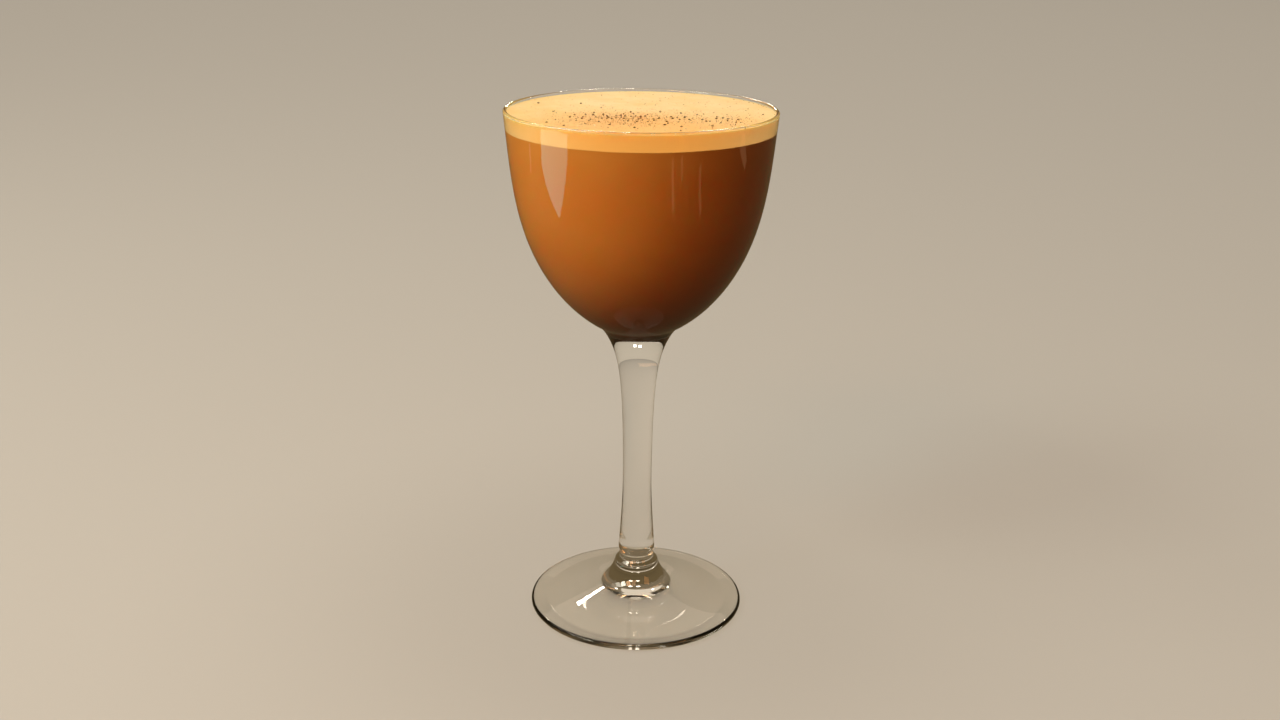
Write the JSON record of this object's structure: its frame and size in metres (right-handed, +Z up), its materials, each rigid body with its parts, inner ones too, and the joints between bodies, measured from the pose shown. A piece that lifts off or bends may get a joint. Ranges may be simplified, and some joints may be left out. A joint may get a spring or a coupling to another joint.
{
  "type": "irish coffee in a stemmed glass",
  "caption": "Milky coffee under pale foam dusted with ground spice, in a small clear stemmed cocktail glass with an egg-shaped bowl and a round foot.",
  "frame": {"origin": "middle of the foot, at the height of the table that the glass stands on", "axes": "+Z up along the stem; -Y towards the viewer of the picture, where the spice lies thickest"},
  "size_m": [0.0756, 0.0756, 0.15],
  "materials": {
    "clear_glass": "clear blown glass, fire polished",
    "milky_coffee": "opaque milky coffee behind the glass, smooth",
    "cream_foam": "fine matt foam dusted with brown ground spice"
  },
  "bodies": {
    "root": {"glass": "clear_glass", "coffee": "milky_coffee", "cream_foam": "cream_foam"}
  },
  "joints": []
}
